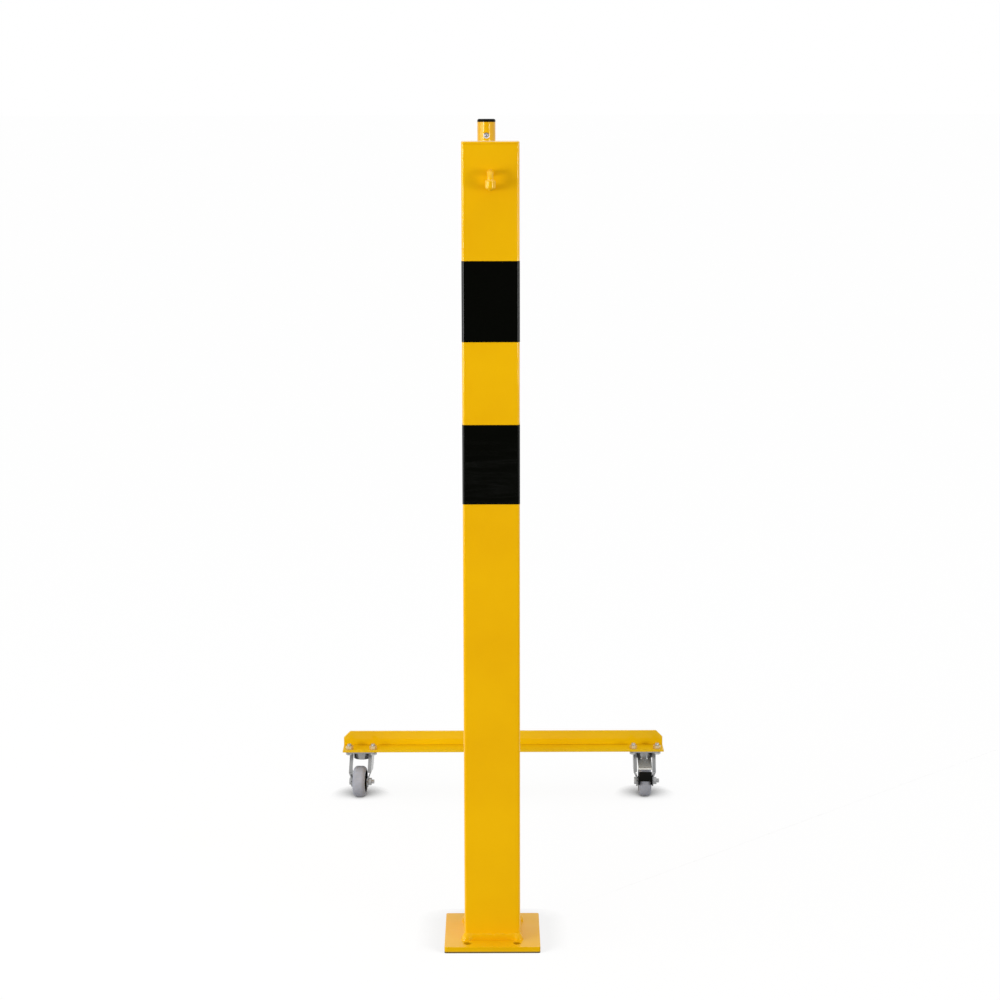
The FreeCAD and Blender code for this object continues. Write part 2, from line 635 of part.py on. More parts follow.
def axle_nut(side):
    body = new_body(f"{side}_axle_nut", **on_castor(side))
    plan = new_sketch(body, "YZ_Plane", "plan", lift="fork_waist / 2")
    hexagon(plan, "-trail", AXLE, "hex_flats")
    circle(plan, "-trail", AXLE, "bolt_shank / 2")
    add_pad(body, plan, "nut_tall")


def on_axle(side):
    """A wheel piece's place: the axle's middle, turned as its castor is."""
    swing = math.radians(size(f"{side}_swivel"))
    place = on_castor(side)
    place["x"] = f"{place['x']} - trail * {math.sin(swing)}"
    place["y"] = f"{place['y']} - trail * {math.cos(swing)}"
    place["z"] = AXLE
    return place


def wheel_core(side, hub_half):
    """A wheel centre: a rim and a hub joined by a thin web, bored for the axle."""
    body = new_body(f"{side}_wheel_core", **on_axle(side))
    half = new_sketch(body, "XZ_Plane", "half")
    bore, hub, rim = "bolt_shank / 2 + axle_play", "hub_across / 2", "core_across / 2"
    web, inner, edge = "web_plate / 2", "core_across / 2 - rim_thick", "rim_wide / 2"
    outline(half, [
        (f"-({hub_half})", bore), (hub_half, bore), (hub_half, hub), (web, hub), (web, inner), (edge, inner),
        (edge, rim), (f"-{edge}", rim), (f"-{edge}", inner), (f"-{web}", inner), (f"-{web}", hub),
        (f"-({hub_half})", hub),
    ])
    add_turned(body, half)


def tyre(side):
    """A solid rubber tyre with rounded shoulders."""
    body = new_body(f"{side}_tyre", **on_axle(side))
    half = new_sketch(body, "XZ_Plane", "half")
    a, inner, outer, r = "wheel_wide / 2", "core_across / 2", "wheel_across / 2", "tyre_round"
    outline(half, [
        (f"-{a}", inner), (a, inner), (a, f"{outer} - {r}", r), (f"{a} - {r}", outer),
        (f"-{a} + {r}", outer, r), (f"-{a}", f"{outer} - {r}"),
    ])
    add_turned(body, half)


def brake_pedal():
    """A foot pedal that straddles the braked wheel: a curved tread joined by two ears to the axle bolt."""
    body = new_body("brake_pedal", **on_axle("right"))
    inner, outer = "wheel_across / 2 + pedal_gap", "wheel_across / 2 + pedal_gap + pedal_thick"
    legs_inside = "(fork_waist / 2 - sheet)"
    ear_outside = f"({legs_inside} - pedal_play)"
    tread_half = f"({ear_outside} - pedal_ear)"

    def at(radius, degrees):
        return (f"-({radius}) * cos({degrees} * 1 deg)", f"({radius}) * sin({degrees} * 1 deg)")

    tread = new_sketch(body, "YZ_Plane", "tread")
    outline(tread, [
        at(inner, "pedal_low"), at(outer, "pedal_low") + (f"-({outer})",), at(outer, "pedal_high"),
        at(inner, "pedal_high") + (f"({inner})",),
    ])
    add_pad(body, tread, f"2 * {tread_half}", side="Symmetric")
    boss = "ear_boss / 2"
    for name, lift in (("left_ear", f"-{ear_outside}"), ("right_ear", tread_half)):
        ear = new_sketch(body, "YZ_Plane", name, lift=lift)
        outline(ear, [
            ("0", f"-{boss}"), at(outer, "ear_low") + (f"-({outer})",), at(outer, "ear_high"),
            ("0", boss, f"-({boss})"), (boss, "0", f"-({boss})"),
        ])
        circle(ear, "0", "0", "bolt_shank / 2 + axle_play")
        add_pad(body, ear, "pedal_ear")


def brake_leaf():
    """A bent spring strip welded under the cup's rim, whose lip ends just above the pedal's tread."""
    body = new_body("brake_leaf", **on_castor("right"))
    rim = size(f"{CROWN_TOP} - cup_tall")
    start, flat, tip = size("kingpin_head / 2"), size("leaf_flat"), size("leaf_reach")
    upper = [
        (-start, rim), (-flat, rim), (-(flat + tip) / 2, rim - size("leaf_droop") / 2),
        (-tip, rim - size("leaf_droop")), (-tip - size("leaf_lip_reach"), rim - size("leaf_lip_drop")),
    ]
    lower = [shifted(upper, index, size("leaf_thick")) for index in range(len(upper))]
    side = new_sketch(body, "YZ_Plane", "side")
    outline(side, upper + lower[::-1])
    add_pad(body, side, "leaf_wide", side="Symmetric")


def shifted(line, index, distance):
    """A corner of a strip's other face: the corner of the line, moved square to it by distance."""
    before = Vector(*line[max(index - 1, 0)], 0)
    here = Vector(*line[index], 0)
    after = Vector(*line[min(index + 1, len(line) - 1)], 0)
    normals = [UP.cross(run).normalize() for run in (here - before, after - here) if run.Length > 0]
    middle = sum(normals[1:], normals[0]).normalize()
    moved = here + middle * (distance / middle.dot(normals[0]))
    return (moved.x, moved.y)


# ---- the barrier -------------------------------------------------------------------------------------------------

def build():
    base_plate()
    foot_weld()
    post_tube()
    post_lid()
    black_bands()
    lock_loop()
    guide_brackets()
    round_tube("guide_tube", "guide_length", x="round_across", y=GUIDE_Y, z="guide_foot")
    tube_cap("guide_cap", x="round_across", y=GUIDE_Y, z="guide_foot + guide_length")

    collar("lower_collar", "0", LAYER_A, GUIDE_Y, "pivot_height")
    collar("front_slider", "collar_play", LAYER_B, GUIDE_Y, TOP_PIVOT)
    collar("rear_slider", "collar_play", LAYER_A, END_Y, TOP_PIVOT)
    collar("end_collar", "0", LAYER_B, END_Y, "pivot_height")

    cells = int(size("lattice_cells"))
    for cell in range(1, cells + 1):
        lattice_bar("a", cell)
        lattice_bar("b", cell)
        lowest = 1 if cell == 1 else 0
        count = 2 if cell in (1, cells) else 3
        rivet_row(cell, lowest, count)

    end_tube()
    tube_cap("end_cap", x="round_across", y=END_Y, z=f"{FLANGE_TOP} + end_tube_length")
    stop_pin()
    foot_flange()
    foot_web()
    castor_bolts()
    castor_nuts()

    castor_plates()
    ball_races()
    kingpins()
    legs_inside = "fork_waist / 2 - sheet"
    for side in ("left", "right"):
        fork(side)
        axle_bolt(side)
        axle_nut(side)
        tyre(side)
    wheel_core("left", f"{legs_inside} - hub_side_play")
    wheel_core("right", f"{legs_inside} - pedal_play - pedal_ear - hub_side_play")
    brake_pedal()
    brake_leaf()


def check():
    doc.recompute()
    for thing in doc.Objects:
        if "Invalid" in thing.State or "Error" in thing.State:
            raise RuntimeError(f"{thing.Label}: {thing.State}")
    for part in parts:
        if part.Shape.isNull() or not part.Shape.isValid() or not part.Shape.Solids:
            raise RuntimeError(f"{part.Label} has no valid solid")


def export():
    os.makedirs("parts", exist_ok=True)
    for part in parts:
        part.Shape.exportStep(os.path.join("parts", f"{part.Label}.step"))


build()
check()
export()
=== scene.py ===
import json
import math

import bmesh
import bpy
from mathutils import Matrix, Vector


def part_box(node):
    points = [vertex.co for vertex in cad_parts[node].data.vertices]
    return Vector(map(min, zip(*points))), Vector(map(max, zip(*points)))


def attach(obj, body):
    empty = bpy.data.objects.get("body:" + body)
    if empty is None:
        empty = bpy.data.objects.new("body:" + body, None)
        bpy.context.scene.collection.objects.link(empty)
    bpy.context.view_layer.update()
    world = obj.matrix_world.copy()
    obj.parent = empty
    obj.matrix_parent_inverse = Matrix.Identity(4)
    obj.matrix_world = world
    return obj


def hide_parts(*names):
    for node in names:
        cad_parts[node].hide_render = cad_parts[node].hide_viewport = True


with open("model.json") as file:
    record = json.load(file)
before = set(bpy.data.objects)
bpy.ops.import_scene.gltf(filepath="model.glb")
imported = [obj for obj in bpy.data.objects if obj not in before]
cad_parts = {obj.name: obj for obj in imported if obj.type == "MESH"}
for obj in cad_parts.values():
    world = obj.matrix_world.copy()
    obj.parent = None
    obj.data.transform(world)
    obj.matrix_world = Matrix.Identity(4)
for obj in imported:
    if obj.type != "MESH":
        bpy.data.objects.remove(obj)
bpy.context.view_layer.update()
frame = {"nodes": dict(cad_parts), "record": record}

# Looks of the folded expanding barrier: yellow powder coat, black film and plastic, bright zinc and grey rubber.
# Lengths are in metres, in the part's own frame: +Z up, +Y away from the camera.

YELLOW = (0.900, 0.490, 0.0020)
YELLOW_SHADE = (0.850, 0.440, 0.0020)
PAINT_TINT = (1.0, 0.72, 0.02)
BLACK_FILM = (0.0022, 0.0024, 0.0016)
BLACK_PLASTIC = (0.0030, 0.0032, 0.0027)
ZINC = (0.325, 0.330, 0.335)
ZINC_DULL = (0.290, 0.296, 0.300)
ZINC_FASTENER = (0.52, 0.525, 0.53)
ZINC_POLISHED = (0.78, 0.79, 0.80)
ZINC_SPRUNG = (0.62, 0.63, 0.61)
ZINC_WARM = (0.68, 0.53, 0.29)
ZINC_METAL = 0.6               # bright zinc has a milky bloom, so it isn't all mirror
# colour of the painted contact shadow along the base plate's bottom edge
PAINTED_CONTACT_SHADE = (0.06, 0.045, 0.02)
RUBBER = (0.368, 0.379, 0.425)
RUBBER_WORN = (0.305, 0.315, 0.352)

CAMERA_PLACE = (0.0056, -2.7375, 1.0498)
CAMERA_YAW = 0.111
CAMERA_PITCH = 8.781
CAMERA_ROLL = -0.124
FOCAL_SHARE = 2.2462          # focal length over the sensor's width
SENSOR = 36.0
SHIFT_Y = -0.05

UP = Vector((0, 0, 1))

POST_CORNER = 0.0035
BAND_LENGTH = 0.098
BRACKET_THICK = 0.006
LOOP_BAR = 0.007

WORLD_LIGHT = 0.60            # what the white world gives the object
FLOOR_GLOW = 0.94             # how much of the white that the camera sees on the floor is not shaded
FLOOR_BOUNCE = 0.40           # how much light the floor gives back to the object
CONTACT_REACH = 0.038         # how far the contact shadow reaches on the floor
CONTACT_LEAN = {"X": 0.0, "Y": -0.98, "Z": 0.20}    # where the light comes from that the contact shadow lacks
CONTACT_FROM = (0.10, 0.35)   # y up to which the contact shadow is faint, and y from which it is full
CONTACT_FAINT = 0.96          # how open the floor counts as where the contact shadow is faint
CONTACT_DARK = 0.55           # how open the floor still is where the contact shadow is darkest
TOP_LIGHT = 0.27              # what the overhead light gives a level surface


# ---- shader helpers --------------------------------------------------------------------------------------------

def new_material(name, **sockets):
    """A material with one Principled shader whose own sockets are set; returns it, its nodes and the shader."""
    material = bpy.data.materials.new(name)
    material.use_nodes = True
    tree = material.node_tree
    shader = tree.nodes["Principled BSDF"]
    for socket, value in sockets.items():
        shader.inputs[socket.replace("_", " ")].default_value = value
    return material, tree, shader


def add_node(tree, kind, **sockets):
    """A node with its input sockets set by name, underscores standing for spaces."""
    node = tree.nodes.new(kind)
    for socket, value in sockets.items():
        node.inputs[socket.replace("_", " ")].default_value = value
    return node


def object_points(tree, stretch=(1, 1, 1)):
    """Coordinates that stay with the piece, in metres, stretched along its axes."""
    source = tree.nodes.new("ShaderNodeTexCoord")
    mapping = tree.nodes.new("ShaderNodeMapping")
    mapping.inputs["Scale"].default_value = stretch
    tree.links.new(source.outputs["Object"], mapping.inputs["Vector"])
    return mapping.outputs["Vector"]


def noise(tree, points, scale, detail=2.0, roughness=0.5):
    texture = add_node(tree, "ShaderNodeTexNoise", Scale=scale, Detail=detail, Roughness=roughness)
    tree.links.new(points, texture.inputs["Vector"])
    return texture.outputs["Fac"]


def spread(tree, factor, low, high, to_low, to_high):
    """Maps a factor's range low..high to to_low..to_high."""
    span = add_node(tree, "ShaderNodeMapRange", From_Min=low, From_Max=high, To_Min=to_low, To_Max=to_high)
    tree.links.new(factor, span.inputs["Value"])
    return span.outputs["Result"]


def blend_colours(tree, factor, first, second, worked_out=None):
    """Blends from first to second, or to a colour that other nodes have worked out."""
    mix = tree.nodes.new("ShaderNodeMix")
    mix.data_type = "RGBA"
    mix.inputs[6].default_value = (*first, 1)
    mix.inputs[7].default_value = (*second, 1)
    if worked_out is not None:
        tree.links.new(worked_out, mix.inputs[7])
    tree.links.new(factor, mix.inputs["Factor"])
    return mix.outputs[2]


def add_bump(tree, shader, height, strength, depth):
    """Bumps the surface by a height factor."""
    bump = add_node(tree, "ShaderNodeBump", Strength=strength, Distance=depth)
    tree.links.new(height, bump.inputs["Height"])
    tree.links.new(bump.outputs["Normal"], shader.inputs["Normal"])


# ---- materials -------------------------------------------------------------------------------------------------

def yellow_paint(name="yellow_paint", coat=0.6, contact_shade_height=0.0, tone=(1, 1, 1)):
    """Glossy powder coat: faint orange peel, slight pooling of the colour and a few duller patches. A non-zero
    contact height paints a dark contact shadow over the coat where it meets the ground, up to about that height;
    tone multiplies the colour, which gives a part a copy of the paint retinted for how light falls on it."""
    material, tree, shader = new_material(
        name, Specular_Tint=(*PAINT_TINT, 1), Coat_Weight=coat, Coat_Roughness=0.08)
    points = object_points(tree)
    pooling = spread(tree, noise(tree, points, 9.0, 3.0), 0.35, 0.7, 0.0, 1.0)
    light, shade = ([share * part for share, part in zip(colour, tone)] for colour in (YELLOW, YELLOW_SHADE))
    colour = blend_colours(tree, pooling, light, shade)
    # Painted shade: below about the given height the coat darkens to the contact-shadow colour, as a contact shadow
    # along the bottom edge.
    if contact_shade_height:
        parts = tree.nodes.new("ShaderNodeSeparateXYZ")
        tree.links.new(points, parts.inputs["Vector"])
        unshaded_share = spread(tree, parts.outputs["Z"], 0.6 * contact_shade_height, 1.2 * contact_shade_height, 0.0, 1.0)
        colour = blend_colours(tree, unshaded_share, PAINTED_CONTACT_SHADE, YELLOW, colour)
    tree.links.new(colour, shader.inputs["Base Color"])
    patches = spread(tree, noise(tree, points, 22.0, 4.0, 0.6), 0.3, 0.75, 0.34, 0.46)
    tree.links.new(patches, shader.inputs["Roughness"])
    add_bump(tree, shader, noise(tree, points, 420.0, 2.0), 0.10, 0.0004)
    return material


def black_film():
    """Self-adhesive film: deep gloss with faint long ripples where it was pulled tight."""
    material, tree, shader = new_material("black_film", Base_Color=(*BLACK_FILM, 1), Specular_IOR_Level=0.18)
    points = object_points(tree)
    ripples = noise(tree, object_points(tree, (1, 1, 5)), 14.0, 1.0)
    tree.links.new(spread(tree, noise(tree, points, 60.0, 3.0), 0.3, 0.7, 0.06, 0.11), shader.inputs["Roughness"])
    add_bump(tree, shader, ripples, 0.12, 0.002)
    return material


def black_plastic(name, low, high, grain):
    """Moulded plastic with a fine grain. low and high bound its roughness."""
    material, tree, shader = new_material(name, Base_Color=(*BLACK_PLASTIC, 1), Specular_IOR_Level=0.06)
    points = object_points(tree)
    tree.links.new(spread(tree, noise(tree, points, 90.0, 3.0), 0.3, 0.7, low, high), shader.inputs["Roughness"])
    add_bump(tree, shader, noise(tree, points, grain, 2.0), 0.25, 0.0002)
    return material


def zinc(name, low, high, bright=ZINC, dull=ZINC_DULL, metallic=ZINC_METAL):
    """Zinc plate, a little cloudy in tone and gloss, with fine drawing marks. low and high bound its roughness."""
    material, tree, shader = new_material(name, Metallic=metallic)
    points = object_points(tree)
    clouds = spread(tree, noise(tree, points, 90.0, 3.0, 0.5), 0.3, 0.7, 0.0, 1.0)
    tree.links.new(blend_colours(tree, clouds, bright, dull), shader.inputs["Base Color"])
    tree.links.new(spread(tree, noise(tree, points, 320.0, 3.0), 0.3, 0.7, low, high), shader.inputs["Roughness"])
    marks = noise(tree, object_points(tree, (1, 1, 0.08)), 2600.0, 2.0)
    add_bump(tree, shader, marks, 0.12, 0.0001)
    return material


def grey_rubber():
    """Non-marking rubber, a little darker and rougher where it has rolled."""
    material, tree, shader = new_material("grey_rubber", Specular_IOR_Level=0.35)
    points = object_points(tree)
    worn = spread(tree, noise(tree, points, 130.0, 4.0, 0.6), 0.4, 0.75, 0.0, 1.0)
    tree.links.new(blend_colours(tree, worn, RUBBER, RUBBER_WORN), shader.inputs["Base Color"])
    tree.links.new(spread(tree, noise(tree, points, 500.0, 2.0), 0.3, 0.7, 0.55, 0.75), shader.inputs["Roughness"])
    add_bump(tree, shader, noise(tree, points, 900.0, 3.0), 0.3, 0.0002)
    return material


def paint_nodes():
    """Gives every carried-over node the material of its slot in the record, or a variant of that of its own; the
    foot's variants of the yellow paint are copies retinted for how light falls on each part.
    """
    looks = {
        "yellow_paint": yellow_paint(),
        "black_film": black_film(),
        "black_cap": black_plastic("black_cap", 0.30, 0.42, 700.0),
        "black_plastic": black_plastic("black_plastic", 0.42, 0.58, 900.0),
        "grey_rubber": grey_rubber(),
        "zinc_plate": zinc("zinc_plate", 0.18, 0.24),
        "zinc_fastener": zinc("zinc_fastener", 0.18, 0.28, ZINC_FASTENER, ZINC),
        "zinc_rivets": zinc("zinc_rivets", 0.18, 0.36),
    }
    for entry in frame["record"]["subparts"]:
        materials = frame["nodes"][entry["node"]].data.materials
        materials.clear()
        materials.append(looks[entry["material_slot"]])
    own_looks = {
        # The plate, flange and web get copies of the one yellow paint, retinted for how light falls on each: painted
        # light and shade. The plate's copy also carries a painted contact shadow.
        "base_plate": yellow_paint("plate_paint_with_painted_shade", 0.25, contact_shade_height=0.0022, tone=(0.94, 0.98, 1.0)),
        "foot_flange": yellow_paint("flange_paint_retinted_for_light", 0.3, tone=(0.88, 1.03, 1.0)),
        "foot_web": yellow_paint("web_paint_retinted_for_light", 0.3, tone=(0.90, 1.05, 1.0)),
        "castor_nuts": zinc("warm_zinc", 0.24, 0.34, ZINC_WARM, ZINC_WARM),
        "brake_leaf": zinc("sprung_zinc", 0.26, 0.36, ZINC_SPRUNG, ZINC_SPRUNG),
        "ball_races": zinc("polished_zinc", 0.10, 0.16, ZINC_POLISHED, ZINC_POLISHED, 1.0),
    }
    for node, look in own_looks.items():
        frame["nodes"][node].data.materials[0] = look
    return looks


# ---- shapes ----------------------------------------------------------------------------------------------------

SHARP = math.radians(40)      # edges that turn more than this stay sharp in the pieces made here


def mesh_piece(name, points, faces, body, slot, looks):
    """A piece from points and faces that rides on a body and takes its look from one of the record's slots."""
    mesh = bpy.data.meshes.new(name)
    mesh.from_pydata([tuple(point) for point in points], [], faces)
    mesh.update()
    tool = bmesh.new()
    tool.from_mesh(mesh)
    bmesh.ops.recalc_face_normals(tool, faces=tool.faces)
    tool.to_mesh(mesh)
    tool.free()
    mesh.shade_smooth()
    mesh.set_sharp_from_angle(angle=SHARP)
    mesh.materials.append(looks[slot])
    piece = bpy.data.objects.new(name, mesh)
    bpy.context.scene.collection.objects.link(piece)
    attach(piece, body)
    return piece


def joint_at(name):
    """A joint's place and unit axis at rest."""
    joint = next(j for j in frame["record"]["behaviour"]["joints"] if j["name"] == name)
    return Vector(joint["pos_m"]), Vector(joint["axis"]).normalized()


def corners(node):
    """The low and the high corner of a node's box."""
    low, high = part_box(node)
    return Vector(low), Vector(high)


class Shape:
    """Points and faces that several runs are added to before they become one piece."""

    def __init__(self):
        self.points = []
        self.faces = []

    def sweep(self, rings, closed):
        """Joins rings of equally many points into a tube, and caps its ends if it isn't closed."""
        count = len(rings[0])
        start = len(self.points)
        for ring in rings:
            self.points.extend(ring)
        for index in range(len(rings) if closed else len(rings) - 1):
            here = start + index * count
            there = start + (index + 1) % len(rings) * count
            for step in range(count):
                after = (step + 1) % count
                self.faces.append((here + step, here + after, there + after, there + step))
        if not closed:
            self.faces.append(tuple(range(start, start + count)))
            last = start + (len(rings) - 1) * count
            self.faces.append(tuple(range(last, last + count)))

    def turn(self, place, axis, profile, steps):
        """A solid of revolution about axis: profile is a closed line of (along, radius)."""
        side = axis.orthogonal().normalized()
        other = axis.cross(side)
        rings = []
        for step in range(steps):
            angle = math.tau * step / steps
            out = side * math.cos(angle) + other * math.sin(angle)
            rings.append([place + axis * along + out * radius for along, radius in profile])
        self.sweep(rings, closed=True)

    def slab(self, low, high):
        """A box between two corners."""
        xs, ys, zs = zip(low, high)
        rings = [[Vector((x, y, z)) for x, y in ((xs[0], ys[0]), (xs[1], ys[0]), (xs[1], ys[1]), (xs[0], ys[1]))]
                 for z in zs]
        self.sweep(rings, closed=False)


# ---- welds -----------------------------------------------------------------------------------------------------

RIPPLE_PITCH = 0.0026
RIPPLE_DEPTH = 0.0003
BEAD_CROWN = 0.16             # how far the bead stands out of a flat fillet, as a share of its reach
BEAD_STEP = 0.00065
LUMP = 0.012                  # how far from a corner the bead is fuller
BEAD_SIDES = 8
BEAD_START = 0.35             # how full an open bead is at its two ends
CORNER_STEPS = 24
FOOT_BEAD_SLIM = 0.25
LOOP_BEAD = 0.0013            # how far the weld at the loop's ends stands off the post
BRACKET_BEAD = 0.0035
BRACKET_BEAD_INSET = 0.003
COLUMN_BEAD = 0.0042
WEB_BEAD = 0.0032


def bead(shape, stations, reach, rise, closed, seed, slim=1.0):
    """A rippled fillet weld. stations are (corner point, outward direction, upward direction, distance run). slim is
    the reach away from the corners of a closed run, as a share of the reach at them."""
    total = stations[-1][3]
    face = (rise / math.hypot(reach, rise), reach / math.hypot(reach, rise))
    middle = sum((station[0] for station in stations), Vector()) / len(stations)
    rings = []
    for place, out, up, run in stations:
        share = math.sqrt(min(run, total - run) / (2 * RIPPLE_PITCH))
        size = 1.0 if closed else min(1.0, BEAD_START + (1 - BEAD_START) * share)
        size *= 1 + 0.05 * math.sin(run * 310 + seed) + 0.04 * math.sin(run * 730 + 2 * seed)
        normal = out * face[0] + up * face[1]
        here = slim + (1 - slim) * near_corner(place - middle)
        ring = [place - (out * reach + up * rise) * 0.15]
        for side in range(BEAD_SIDES + 1):
            share = side / BEAD_SIDES
            arch = 4 * share * (1 - share)
            wave = math.sqrt((run / RIPPLE_PITCH + 0.4 * arch) % 1.0)
            swell = arch * (BEAD_CROWN * reach * size + RIPPLE_DEPTH * (wave - 0.5))
            ring.append(place + (out * (reach * here * (1 - share)) + up * (rise * share)) * size + normal * swell)
        rings.append(ring)
    shape.sweep(rings, closed)


def near_corner(spot):
    """1 where a level spot is on a diagonal through the middle, falling to 0 on the axes' side of LUMP."""
    low, high = sorted((abs(spot.x), abs(spot.y)))
    share = max(0.0, 1 - (high - low) / LUMP)
    return share * share * (3 - 2 * share)


def straight_stations(start, end, out, up):
    """Stations along a straight inner corner."""
    length = (end - start).length
    count = max(4, round(length / BEAD_STEP))
    return [(start.lerp(end, index / count), out, up, length * index / count) for index in range(count + 1)]


def round_stations(centre, half_x, half_y, radius):
    """Stations all round a rounded rectangle that lies level about centre."""
    path = []
    for quarter, (sign_x, sign_y) in enumerate(((1, 1), (-1, 1), (-1, -1), (1, -1))):
        pivot = centre + Vector((sign_x * (half_x - radius), sign_y * (half_y - radius), 0))
        for step in range(CORNER_STEPS + 1):
            angle = math.pi / 2 * (quarter + step / CORNER_STEPS)
            out = Vector((math.cos(angle), math.sin(angle), 0))
            path.append((pivot + out * radius, out))
    path.append(path[0])
    stations = []
    run = 0.0
    for (start, start_out), (end, end_out) in zip(path, path[1:]):
        length = (end - start).length
        if length < BEAD_STEP / 10:
            continue
        count = max(1, round(length / BEAD_STEP))
        for index in range(count):
            share = index / count
            stations.append((start.lerp(end, share), start_out.lerp(end_out, share).normalized(), UP,
                             run + length * share))
        run += length
    return stations


def welds(looks):
    """The beads round the post's foot, at the loop's ends, along the brackets and round the far tube's foot."""
    x, y = Vector((1, 0, 0)), Vector((0, 1, 0))
    plate_top = corners("base_plate")[1].z
    post_low, post_high = corners("post_tube")
    weld_low, weld_high = corners("foot_weld")
    reach, rise = weld_high.x - post_high.x, weld_high.z - weld_low.z
    shape = Shape()
    bead(shape, round_stations(Vector((0, 0, plate_top)), post_high.x, post_high.y, POST_CORNER),
         reach, rise, closed=True, seed=1.3, slim=FOOT_BEAD_SLIM)
    piece = mesh_piece("foot_weld_bead", shape.points, shape.faces, "fixed_post", "yellow_paint", looks)
    # The foot bead gets a darker copy of the yellow paint: painted shade that keeps the bead from showing lighter
    # than the post under the top light.
    piece.data.materials[0] = yellow_paint("weld_paint_shaded_copy", 0.2, tone=(0.88, 0.88, 0.88))
    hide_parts("foot_weld")

    low, high = corners("lock_loop")
    shape = Shape()
    bar = LOOP_BAR / 2
    profile = [(-0.0004, bar - 0.0004), (-0.0004, bar + 0.0011), (0.0002, bar + 0.0009), (0.0007, bar + 0.0005),
               (0.0011, bar + 0.0002), (LOOP_BEAD, bar - 0.0004)]
    for level in (low.z + bar, high.z - bar):
        shape.turn(Vector((0, post_low.y, level)), -y, profile, 40)
    mesh_piece("loop_weld_beads", shape.points, shape.faces, "fixed_post", "yellow_paint", looks)

    low, high = corners("guide_brackets")
    run = high.x - low.x - 2 * BRACKET_BEAD_INSET
    shape = Shape()
    for top in (low.z + BRACKET_THICK, high.z):
        for level, up in ((top, UP), (top - BRACKET_THICK, -UP)):
            start = Vector((low.x + BRACKET_BEAD_INSET, post_high.y, level))
            bead(shape, straight_stations(start, start + x * run, y, up), BRACKET_BEAD, BRACKET_BEAD, False, level)
    mesh_piece("bracket_weld_beads", shape.points, shape.faces, "fixed_post", "yellow_paint", looks)

    low, high = corners("end_tube")
    web_low, web_high = corners("foot_web")
    radius = (high.x - low.x) / 2
    centre = Vector(((low.x + high.x) / 2, (low.y + high.y) / 2, low.z))
    shape = Shape()
    bead(shape, round_stations(centre, radius, radius, radius), COLUMN_BEAD, COLUMN_BEAD, True, 0.4)
    half = (web_high.y - web_low.y) / 2
    reach_x = math.sqrt(radius ** 2 - half ** 2)
    for way_x in (-1, 1):
        for way_y in (-1, 1):
            foot = centre + Vector((way_x * reach_x, way_y * half, 0.002))
            top = Vector((foot.x, foot.y, web_high.z - 0.001))
            bead(shape, straight_stations(foot, top, x * way_x, y * way_y), WEB_BEAD, WEB_BEAD, False,
                 0.7 + way_x + way_y)
    mesh_piece("end_tube_bead", shape.points, shape.faces, "end_frame", "yellow_paint", looks)


# ---- small parts -----------------------------------------------------------------------------------------------

THREAD_PITCH = 0.001
THREAD_ROOT = 0.00285
THREAD_CREST = 0.00318
NUT_REACH = 0.015             # vertices nearer to each other than this belong to one nut
PIN_DOME = 0.6                # how deep a pin's rolled end is, as a share of its radius
PIN_STEPS = 8
TIP = 0.0001                  # how near to its axis a turned shape is closed


def thread(shape, start, axis, length):
    """Thread ridges over the end of an M6 shank, with a chamfered start."""
    count = int(length / THREAD_PITCH)
    profile = [(0.0, 0.001)]
    for ridge in range(count):
        foot = ridge * THREAD_PITCH
        crest = THREAD_CREST if ridge < count - 1 else (THREAD_CREST + THREAD_ROOT) / 2
        profile += [(foot + 0.1 * THREAD_PITCH, THREAD_ROOT), (foot + 0.45 * THREAD_PITCH, crest),
                    (foot + 0.6 * THREAD_PITCH, crest)]
    profile += [(count * THREAD_PITCH - 0.0001, THREAD_ROOT), (count * THREAD_PITCH - 0.0001, 0.001)]
    shape.turn(start, axis, profile, 28)


def fasteners(looks):
    """Threads on the ends of the castor bolts and the axle bolts."""
    bolts_top, nuts_top = corners("castor_bolts")[1].z, corners("castor_nuts")[1].z
    shape = Shape()
    for place in bolt_centres():
        thread(shape, Vector((place.x, place.y, nuts_top)), UP, bolts_top - nuts_top)
    mesh_piece("castor_bolt_threads", shape.points, shape.faces, "end_frame", "zinc_fastener", looks)
    for side in ("left", "right"):
        place, axis = joint_at(f"{side}_wheel_spin")
        end = farthest(f"{side}_axle_bolt", place, axis)
        start = farthest(f"{side}_axle_nut", place, axis)
        shape = Shape()
        thread(shape, place + axis * start, axis, end - start)
        mesh_piece(f"{side}_axle_thread", shape.points, shape.faces, f"{side}_swivel", "zinc_fastener", looks)


def round_headed_pin(looks):
    """The stop pin with its ends rolled round."""
    low, high = corners("stop_pin")
    centre = (low + high) / 2
    radius, reach = (high.x - low.x) / 2, (high.y - low.y) / 2
    front = [(PIN_DOME * radius * (1 - math.cos(angle)) - reach, max(radius * math.sin(angle), TIP))
             for angle in (math.pi / 2 * step / PIN_STEPS for step in range(PIN_STEPS + 1))]
    shape = Shape()
    shape.turn(centre, Vector((0, 1, 0)), front + [(-along, out) for along, out in reversed(front)], 48)
    piece = mesh_piece("round_headed_pin", shape.points, shape.faces, "end_frame", "zinc_fastener", looks)
    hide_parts("stop_pin")


def farthest(node, place, axis):
    """How far the node reaches from place along axis."""
    return max((vertex.co - place).dot(axis) for vertex in frame["nodes"][node].data.vertices)


def bolt_centres():
    """The level middles of the eight castor nuts, read from their node's mesh."""
    nuts = []
    for vertex in frame["nodes"]["castor_nuts"].data.vertices:
        spot = Vector((vertex.co.x, vertex.co.y))
        for nut in nuts:
            if (nut[0] - spot).length < NUT_REACH:
                nut.append(spot)
                break
        else:
            nuts.append([spot])
    return [Vector(((min(s.x for s in nut) + max(s.x for s in nut)) / 2,
                    (min(s.y for s in nut) + max(s.y for s in nut)) / 2)) for nut in nuts]


